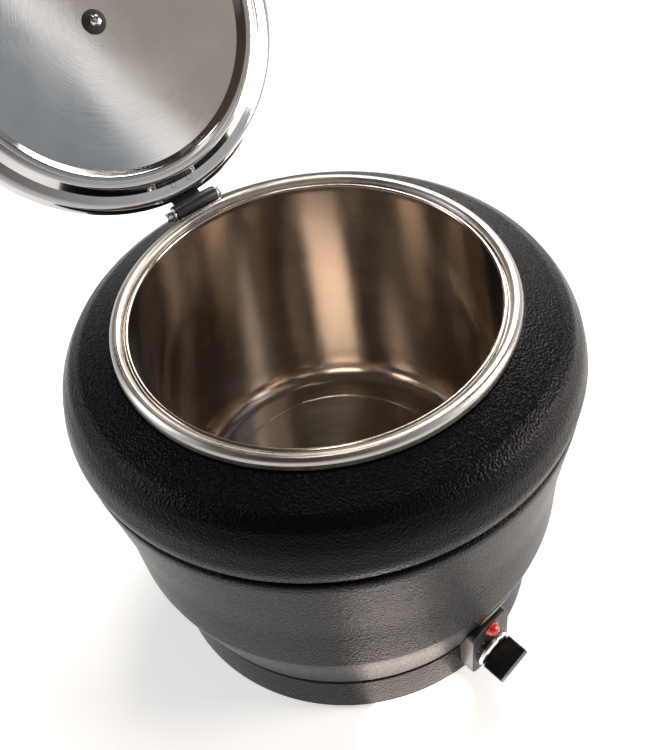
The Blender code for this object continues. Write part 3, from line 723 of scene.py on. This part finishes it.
def make_pot():
    """The lift-out pot with its rolled mouth, rounded floor corner and raised ring on the floor."""
    corner = 0.0260
    pot = filleted([
        (0.1282, 0.2764),
        (0.1208, 0.2764, 0.0006),
        (0.1203, 0.2782, 0.0006),
        (0.1190, 0.2786, 0.0006),
        (0.1185, 0.2750, 0.0100),
        (0.1173, POT_BOTTOM, corner),
        (0.0850, POT_BOTTOM),
        (0.0, POT_BOTTOM),
    ], segments=16)
    floor = POT_BOTTOM + SHEET
    piece = lathe("soup_pot", walled(pot, SHEET), POT_STEEL, "pot", RIM_STEPS, sharp=50.0)
    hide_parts("inner_pot")
    angles = [2 * math.pi * i / 16 for i in range(16)]
    bead = [(BEAD_RADIUS + 0.0011 * math.cos(a), floor + 0.0002 + 0.0005 * math.sin(a)) for a in angles]
    lathe("pot_floor_bead", bead, POT_STEEL, "pot", RIM_STEPS)


def make_rim():
    """The rounded stainless ring over the pot's mouth."""
    rim = filleted([
        (0.1220, 0.2781),
        (0.1226, 0.2806, 0.0012),
        (0.1246, 0.2820, 0.0022),
        (0.1274, 0.2820, 0.0030),
        (0.1298, 0.2802, 0.0030),
        (0.1304, 0.2780, 0.0030),
        (0.1304, 0.2744),
    ], segments=10)
    ring = lathe("rim_ring", walled(rim, SHEET), RIM_STEEL, "ring", RIM_STEPS, sharp=60.0)
    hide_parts("lid_ring")


def make_well():
    """The heated well round the pot, with its turned-out mouth and rounded floor corner."""
    well = filleted([
        (0.1284, 0.2751),
        (0.1252, 0.2751, 0.0010),
        (0.1237, 0.2736, 0.0010),
        (0.1237, 0.0700, 0.0140),
        (0.0, 0.0700),
    ], segments=12)
    piece = lathe("water_well", walled(well, SHEET), WELL_STEEL, "kettle")
    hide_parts("heat_well")


# Lid and hinge


def make_lid():
    """The lid: shallow dome, recessed channel, flange and raised outer band, with its black handle."""
    edge, edge_height, top_height = 0.1015, 0.0034, 0.0110
    dome = []
    for step in range(20):
        radius = edge * step / 20
        dome.append((radius, edge_height + (top_height - edge_height) * (1 - (radius / edge) ** 2)))
    rest = filleted([
        dome[-1],
        (0.1015, 0.0034, 0.0006),
        (0.1060, -0.0018, 0.0020),
        (0.1095, -0.0026, 0.0060),
        (0.1130, -0.0018, 0.0030),
        (0.1180, 0.0030, 0.0012),
        (0.1245, 0.0038, 0.0100),
        (0.1278, 0.0050, 0.0040),
        (0.1296, 0.0082),
    ])
    pan = lathe("lid_shell", walled(dome[:-1] + rest, SHEET), LID_STEEL, "lid", RIM_STEPS)
    pan.data.transform(LID_CENTRE)
    centre = LID_CENTRE @ Matrix.Translation((0.0, 0.0, top_height))
    cutters = [pin_cutter(0.0026, -0.01, 0.01, centre)]
    for x in (-0.0065, 0.0065):
        cutters.append(pin_cutter(0.0018, -0.001, 0.010, LID_FRAME @ Matrix.Translation((x, -0.0180, 0.0))))
    cut(pan, *cutters)
    pan.data.set_sharp_from_angle(angle=math.radians(50.0))
    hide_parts("lid_pan")

    handle = filleted([
        (0.0, 0.0310),
        (0.0155, 0.0303, 0.0120),
        (0.0190, 0.0252, 0.0060),
        (0.0165, 0.0195, 0.0080),
        (0.0085, 0.0135, 0.0100),
        (0.0085, 0.0080, 0.0100),
        (0.0113, 0.0028, 0.0040),
        (0.0120, GAP, 0.0),
        (0.0026, GAP),
        (0.0026, 0.0240),
        (0.0, 0.0240),
    ])
    grip = lathe("lid_handle", handle, KNOB_PLASTIC, "lid", 96, centre)
    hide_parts("lid_knob")

    washer = filleted([
        (0.0026, -SHEET - GAP),
        (0.0085, -SHEET - GAP),
        (0.0083, -0.0020, 0.0004),
        (0.0055, -0.0042, 0.0005),
        (0.0026, -0.0042),
    ])
    cone = lathe("handle_washer", washer, RUBBER, "lid", SMALL_STEPS, centre)
    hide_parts("lid_knob_washer")
    screw = filleted([
        (0.0, 0.0200),
        (0.0022, 0.0200),
        (0.0022, -0.0045),
        (0.0042, -0.0045),
        (0.0041, -0.0055, 0.0010),
        (0.0030, -0.0070, 0.0030),
        (0.0, -0.0076),
    ])
    bolt = lathe("handle_screw", screw, CHROME, "lid", SMALL_STEPS, centre)
    slots = []
    for quarter in (0.0, 90.0):
        spot = centre @ Matrix.Rotation(math.radians(quarter + 25.0), 4, "Z")
        slot_low, slot_high = (-0.0022, -0.0004, -0.0090), (0.0022, 0.0004, -0.0062)
        slots.append(block("slot", slot_low, slot_high, 0.0, PAINT, None, spot))
    cut(bolt, *slots)
    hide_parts("lid_knob_screw")


def make_hinge():
    """Chromed ears on the ring, a black barrel riveted to the lid, and the pin through both."""
    half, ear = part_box("hinge_bracket")[1].x, 0.0015
    strap = block(
        "hinge_ears", (-half, -0.0070, -0.0062), (half, -0.0061, -0.0012), 0.0003, CHROME, "ring",
        RING_FRAME,
    )
    extra = []
    for side in (-1, 1):
        near, far = sorted((side * half, side * (half - ear)))
        arm_low, arm_high = (near, -0.0070, -0.0062), (far, 0.0020, -0.0030)
        extra.append(block("arm", arm_low, arm_high, 0.0003, PAINT, None, RING_FRAME))
        edge = [(0.0, far), (0.0052, far, 0.0003), (0.0052, near, 0.0003), (0.0, near)]
        outline = filleted(edge, segments=3)
        extra.append(lathe("eye", outline, PAINT, None, SMALL_STEPS, PIN_FRAME))
    cut(strap, *extra, operation="UNION")
    cut(strap, pin_cutter(0.0023, -0.03, 0.03, PIN_FRAME))
    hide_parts("hinge_bracket")

    pin = filleted([
        (0.0, 0.0228),
        (0.0020, 0.0228, 0.0005),
        (0.0020, -0.0189),
        (0.0032, -0.0189, 0.0003),
        (0.0032, -0.0225, 0.0008),
        (0.0024, -0.0235, 0.0008),
        (0.0, -0.0235),
    ], segments=4)
    rod = lathe("hinge_rod", pin, CHROME, "ring", SMALL_STEPS, PIN_FRAME)
    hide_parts("hinge_pin")
    nut = hexagon("rod_nut", 0.0062, 0.0021, half + GAP, half + 0.0030, CHROME, PIN_FRAME)
    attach(nut, "ring")
    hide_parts("pin_nut")

    barrel_half = 0.0166
    barrel = filleted([
        (0.00215, barrel_half),
        (0.0056, barrel_half, 0.0005),
        (0.0056, -barrel_half, 0.0005),
        (0.00215, -barrel_half),
    ], segments=4)
    knuckle = lathe(
        "hinge_barrel", barrel, KNOB_PLASTIC, "lid", SMALL_STEPS, LID_FRAME @ LIE_ALONG_X,
    )
    tongue_line = [
        (0.0000, 0.0040), (-0.0045, 0.0085), (-0.0088, 0.0104), (-0.0114, 0.0082), (-0.0138, 0.0052),
        (-0.0215, 0.0052),
    ]
    tongue = strip("tongue", tongue_line, 0.0110, 0.0016, LID_FRAME)
    cut(knuckle, tongue, operation="UNION")
    holes = [pin_cutter(0.00215, -0.03, 0.03, LID_FRAME @ LIE_ALONG_X)]
    rivet = filleted([
        (0.0, 0.0077),
        (0.0024, 0.0074, 0.0020),
        (0.0031, 0.0064),
        (0.0015, 0.0064),
        (0.0015, 0.0019),
        (0.0, 0.0019),
    ], segments=5)
    for side, x in (("left", -0.0065), ("right", 0.0065)):
        spot = LID_FRAME @ Matrix.Translation((x, -0.0180, 0.0))
        holes.append(pin_cutter(0.0018, -0.001, 0.010, spot))
        head = lathe(f"rivet_{side}", rivet, CHROME, "lid", SMALL_STEPS, spot)
        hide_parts(f"knuckle_rivet_{side}")
    cut(knuckle, *holes)
    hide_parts("hinge_knuckle")


def hexagon(name, across, bore, bottom, top, finish, at):
    """A hexagon nut with rounded corners at both faces and a round hole."""
    corner = across / math.sqrt(3.0)
    mesh = bpy.data.meshes.new(name)
    form = bmesh.new()
    bmesh.ops.create_cone(form, cap_ends=True, segments=6, radius1=corner, radius2=corner, depth=top - bottom)
    bmesh.ops.translate(form, vec=(0.0, 0.0, (top + bottom) / 2), verts=form.verts)
    bmesh.ops.bevel(form, geom=form.edges, offset=0.0003, segments=3, affect="EDGES", profile=0.5)
    form.to_mesh(mesh)
    form.free()
    piece = finished(name, mesh, finish, None, at)
    return cut(piece, pin_cutter(bore, bottom - 0.01, top + 0.01, at))


def strip(name, line, half, thickness, at):
    """A bent strip along a line of (y, z), as a closed piece for joining."""
    mesh = bpy.data.meshes.new(name)
    corners = [(x, y, z) for y, z in line for x in (-half, half)]
    faces = [(2 * i, 2 * i + 1, 2 * i + 3, 2 * i + 2) for i in range(len(line) - 1)]
    mesh.from_pydata(corners, [], faces)
    piece = finished(name, mesh, PAINT, None, at)
    thick = piece.modifiers.new("thickness", "SOLIDIFY")
    thick.thickness = thickness
    thick.offset = 0.0
    thick.use_even_offset = True
    return cut(piece)


# Feet and gland


def make_underside():
    """The rubber feet and the cable gland at the rear."""
    foot = filleted([
        (0.0024, 0.0055),
        (0.0095, 0.0055, 0.0004),
        (0.0110, 0.0008, 0.0008),
        (0.0102, 0.0, 0.0006),
        (0.0050, 0.0, 0.0006),
        (0.0050, 0.0025),
        (0.0024, 0.0025),
    ], segments=4)
    for number in range(1, 5):
        low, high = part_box(f"foot_{number}")
        spot = Matrix.Translation(((low.x + high.x) / 2, (low.y + high.y) / 2, 0.0))
        pad = lathe(f"foot_pad_{number}", foot, RUBBER, "kettle", SMALL_STEPS, spot)
        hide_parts(f"foot_{number}")

    gland = filleted([
        (0.0045, 0.0095),
        (0.0085, 0.0095, 0.0008),
        (0.0098, 0.0078, 0.0010),
        (0.0120, 0.0066, 0.0008),
        (0.0120, GAP),
        (0.0080, GAP),
        (0.0080, -0.0150),
        (0.0045, -0.0150),
    ], segments=5)
    spot = Matrix.Translation((0.0, BASE_RADIUS, GLAND_HEIGHT)) @ FACE_REAR
    entry = lathe("cable_entry", gland, BLACK_PLASTIC, "kettle", SMALL_STEPS, spot)
    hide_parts("cable_gland")


def finish_carried_nodes():
    """Gives every CAD node that stays visible the detailed finish of its own slot."""
    for node in frame["nodes"].values():
        if node.hide_render:
            continue
        for slot in node.material_slots:
            name = slot.material.name.split(".")[0] if slot.material else ""
            slot.material = FINISHES.get(name, ZINC)


# Scene


def area(name, at, target, size, power, colour):
    """A rectangular light at a place, facing a target."""
    lamp = bpy.data.lights.new(name, "AREA")
    lamp.shape = "RECTANGLE"
    lamp.size, lamp.size_y = size
    lamp.energy = power
    lamp.color = colour
    light = bpy.data.objects.new(name, lamp)
    bpy.context.scene.collection.objects.link(light)
    away = Vector(at) - Vector(target)
    light.matrix_world = Matrix.Translation(at) @ away.to_track_quat("Z", "Y").to_matrix().to_4x4()
    return light


def make_studio():
    """A pale floor, soft lights, cards that the lid mirrors and a world that darkens overhead."""
    mesh = bpy.data.meshes.new("studio_floor")
    form = bmesh.new()
    bmesh.ops.create_grid(form, x_segments=1, y_segments=1, size=6.0)
    form.to_mesh(mesh)
    form.free()
    floor = bpy.data.objects.new("studio_floor", mesh)
    bpy.context.scene.collection.objects.link(floor)
    mesh.materials.append(floor_paint())

    middle = (0.0, 0.0, 0.15)
    area("key_box", (1.7, 1.1, 1.9), middle, (1.5, 1.1), 55.0, (1.0, 0.96, 0.91))
    area("window", (-1.9, 1.5, 1.5), middle, (0.7, 1.5), 18.0, (0.92, 0.96, 1.0))
    area("front_strip", (2.1, -1.7, 1.2), middle, (1.0, 1.2), 62.0, (1.0, 0.92, 0.86))
    area("ceiling_lamp", (0.25, 0.35, 2.6), middle, (0.35, 0.35), 6.0, (1.0, 0.93, 0.84))
    lid_middle = (0.0, 0.2, 0.4)
    area("blue_card", (1.00, -1.06, 1.75), lid_middle, (0.55, 1.5), 0.80, (0.74, 0.87, 1.0))
    area("curtain_edge", (0.72, -1.17, 1.70), lid_middle, (0.070, 1.5), 0.40, (1.0, 0.98, 0.95))
    area("warm_card", (0.43, -1.36, 1.75), lid_middle, (0.62, 1.5), 1.1, (1.0, 0.91, 0.82))
    glow_spot = (-0.060, -0.148, 0.0010)  # faces up beside the base, for the belly's warm highlight
    below = (-0.060, -0.148, -1.0)
    glow = area("floor_glow", glow_spot, below, (0.09, 0.06), 0.055, (1.0, 0.84, 0.74))
    glow.data.shape = "ELLIPSE"
    glow.visible_camera = False

    world = bpy.data.worlds.new("studio")
    bpy.context.scene.world = world
    world.use_nodes = True
    tree = world.node_tree
    place = tree.nodes.new("ShaderNodeTexCoord")
    parts = tree.nodes.new("ShaderNodeSeparateXYZ")
    ramp = tree.nodes.new("ShaderNodeValToRGB")
    tree.links.new(place.outputs["Generated"], parts.inputs[0])
    tree.links.new(parts.outputs["Z"], ramp.inputs["Fac"])
    tree.links.new(ramp.outputs["Color"], tree.nodes["Background"].inputs["Color"])
    stops = ramp.color_ramp.elements
    stops[0].position, stops[0].color = 0.0, (0.80, 0.79, 0.78, 1.0)
    stops[1].position, stops[1].color = 0.22, (0.58, 0.58, 0.60, 1.0)
    for position, colour in (
        (0.42, (0.26, 0.25, 0.25, 1.0)),
        (0.62, (0.060, 0.048, 0.040, 1.0)),
        (1.00, (0.09, 0.074, 0.060, 1.0)),
    ):
        stop = stops.new(position)
        stop.color = colour
    tree.nodes["Background"].inputs["Strength"].default_value = 1.0


def make_camera():
    """The camera above the front left, looking down into the pot."""
    lens = bpy.data.cameras.new("camera")
    lens.lens = 48.0
    lens.sensor_width = 36.0
    camera = bpy.data.objects.new("camera", lens)
    bpy.context.scene.collection.objects.link(camera)
    turns = [(-32.0, "Z"), (43.07, "X"), (-8.8, "Z")]
    pose = Matrix.Translation((-0.2464, -0.3945, 0.7069))
    for degrees, axis in turns:
        pose = pose @ Matrix.Rotation(math.radians(degrees), 4, axis)
    camera.matrix_world = pose
    bpy.context.scene.camera = camera
    view = bpy.context.scene.view_settings
    view.view_transform = "Standard"
    view.look = "None"
    view.exposure = 0.0


make_body()
make_bezel()
make_lamp()
make_dial_marks()
make_knob()
make_pot()
make_rim()
make_well()
make_lid()
make_hinge()
make_underside()
finish_carried_nodes()
make_studio()
make_camera()
